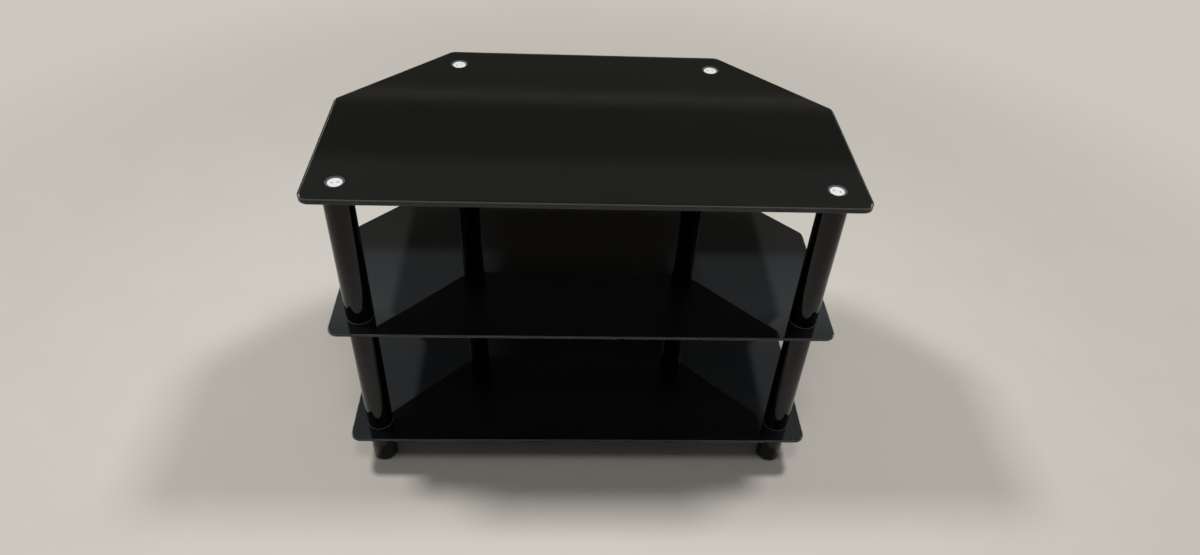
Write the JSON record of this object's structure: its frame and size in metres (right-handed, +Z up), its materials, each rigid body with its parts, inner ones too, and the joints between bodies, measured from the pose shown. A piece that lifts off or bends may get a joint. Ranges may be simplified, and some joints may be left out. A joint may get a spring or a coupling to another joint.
{
  "type": "corner television stand",
  "caption": "Corner television stand with black glass shelves on round gloss black tube legs, countersunk top screws and screw-in levelling feet; no doors.",
  "frame": {"origin": "on the floor, below the middle of the shelves' width and depth", "axes": "+X along the straight front edge to the right, +Y from the front edge to the back, +Z up"},
  "size_m": [0.7, 0.385, 0.5265],
  "materials": {
    "black_glass": "polished, opaque black backed",
    "tube_paint": "high gloss",
    "grey_plastic": "satin, slightly translucent",
    "satin_steel": "satin",
    "plated_steel": "zinc plated",
    "black_nylon": "moulded",
    "black_rubber": "matt"
  },
  "bodies": {
    "stand": {"top_glass": "black_glass", "middle_glass": "black_glass", "bottom_glass": "black_glass", "upper_tube_front_left": "tube_paint", "lower_tube_front_left": "tube_paint", "foot_tube_front_left": "tube_paint", "washer_under_top_front_left": "grey_plastic", "washer_over_middle_front_left": "grey_plastic", "washer_under_middle_front_left": "grey_plastic", "washer_over_bottom_front_left": "grey_plastic", "washer_under_bottom_front_left": "grey_plastic", "screw_liner_front_left": "grey_plastic", "top_screw_front_left": "satin_steel", "middle_stud_front_left": "plated_steel", "bottom_stud_front_left": "plated_steel", "upper_tube_front_right": "tube_paint", "lower_tube_front_right": "tube_paint", "foot_tube_front_right": "tube_paint", "washer_under_top_front_right": "grey_plastic", "washer_over_middle_front_right": "grey_plastic", "washer_under_middle_front_right": "grey_plastic", "washer_over_bottom_front_right": "grey_plastic", "washer_under_bottom_front_right": "grey_plastic", "screw_liner_front_right": "grey_plastic", "top_screw_front_right": "satin_steel", "middle_stud_front_right": "plated_steel", "bottom_stud_front_right": "plated_steel", "upper_tube_rear_left": "tube_paint", "lower_tube_rear_left": "tube_paint", "foot_tube_rear_left": "tube_paint", "washer_under_top_rear_left": "grey_plastic", "washer_over_middle_rear_left": "grey_plastic", "washer_under_middle_rear_left": "grey_plastic", "washer_over_bottom_rear_left": "grey_plastic", "washer_under_bottom_rear_left": "grey_plastic", "screw_liner_rear_left": "grey_plastic", "top_screw_rear_left": "satin_steel", "middle_stud_rear_left": "plated_steel", "bottom_stud_rear_left": "plated_steel", "upper_tube_rear_right": "tube_paint", "lower_tube_rear_right": "tube_paint", "foot_tube_rear_right": "tube_paint", "washer_under_top_rear_right": "grey_plastic", "washer_over_middle_rear_right": "grey_plastic", "washer_under_middle_rear_right": "grey_plastic", "washer_over_bottom_rear_right": "grey_plastic", "washer_under_bottom_rear_right": "grey_plastic", "screw_liner_rear_right": "grey_plastic", "top_screw_rear_right": "satin_steel", "middle_stud_rear_right": "plated_steel", "bottom_stud_rear_right": "plated_steel"},
    "foot_pad_front_left": {"levelling_pad_front_left": "black_rubber"},
    "foot_screw_front_left": {"levelling_screw_front_left": "black_nylon"},
    "foot_pad_front_right": {"levelling_pad_front_right": "black_rubber"},
    "foot_screw_front_right": {"levelling_screw_front_right": "black_nylon"},
    "foot_pad_rear_left": {"levelling_pad_rear_left": "black_rubber"},
    "foot_screw_rear_left": {"levelling_screw_rear_left": "black_nylon"},
    "foot_pad_rear_right": {"levelling_pad_rear_right": "black_rubber"},
    "foot_screw_rear_right": {"levelling_screw_rear_right": "black_nylon"}
  },
  "joints": [
    {"name": "pad_lowers_front_left", "type": "slide", "parent": "stand", "child": "foot_pad_front_left", "axis": [0, 0, -1], "range_m": [0, 0.008]},
    {"name": "foot_screw_turns_front_left", "type": "hinge", "parent": "foot_pad_front_left", "child": "foot_screw_front_left", "pos_m": [-0.31, -0.1545, 0.0015], "axis": [0, 0, -1], "range_deg": [0, 2304]},
    {"name": "pad_lowers_front_right", "type": "slide", "parent": "stand", "child": "foot_pad_front_right", "axis": [0, 0, -1], "range_m": [0, 0.008]},
    {"name": "foot_screw_turns_front_right", "type": "hinge", "parent": "foot_pad_front_right", "child": "foot_screw_front_right", "pos_m": [0.31, -0.1545, 0.0015], "axis": [0, 0, -1], "range_deg": [0, 2304]},
    {"name": "pad_lowers_rear_left", "type": "slide", "parent": "stand", "child": "foot_pad_rear_left", "axis": [0, 0, -1], "range_m": [0, 0.008]},
    {"name": "foot_screw_turns_rear_left", "type": "hinge", "parent": "foot_pad_rear_left", "child": "foot_screw_rear_left", "pos_m": [-0.188, 0.1535, 0.0015], "axis": [0, 0, -1], "range_deg": [0, 2304]},
    {"name": "pad_lowers_rear_right", "type": "slide", "parent": "stand", "child": "foot_pad_rear_right", "axis": [0, 0, -1], "range_m": [0, 0.008]},
    {"name": "foot_screw_turns_rear_right", "type": "hinge", "parent": "foot_pad_rear_right", "child": "foot_screw_rear_right", "pos_m": [0.188, 0.1535, 0.0015], "axis": [0, 0, -1], "range_deg": [0, 2304]}
  ],
  "couplings": [
    {"joint": "pad_lowers_front_left", "follows": "foot_screw_turns_front_left", "m_per_rad": 0.00019894},
    {"joint": "pad_lowers_front_right", "follows": "foot_screw_turns_front_right", "m_per_rad": 0.00019894},
    {"joint": "pad_lowers_rear_left", "follows": "foot_screw_turns_rear_left", "m_per_rad": 0.00019894},
    {"joint": "pad_lowers_rear_right", "follows": "foot_screw_turns_rear_right", "m_per_rad": 0.00019894}
  ]
}
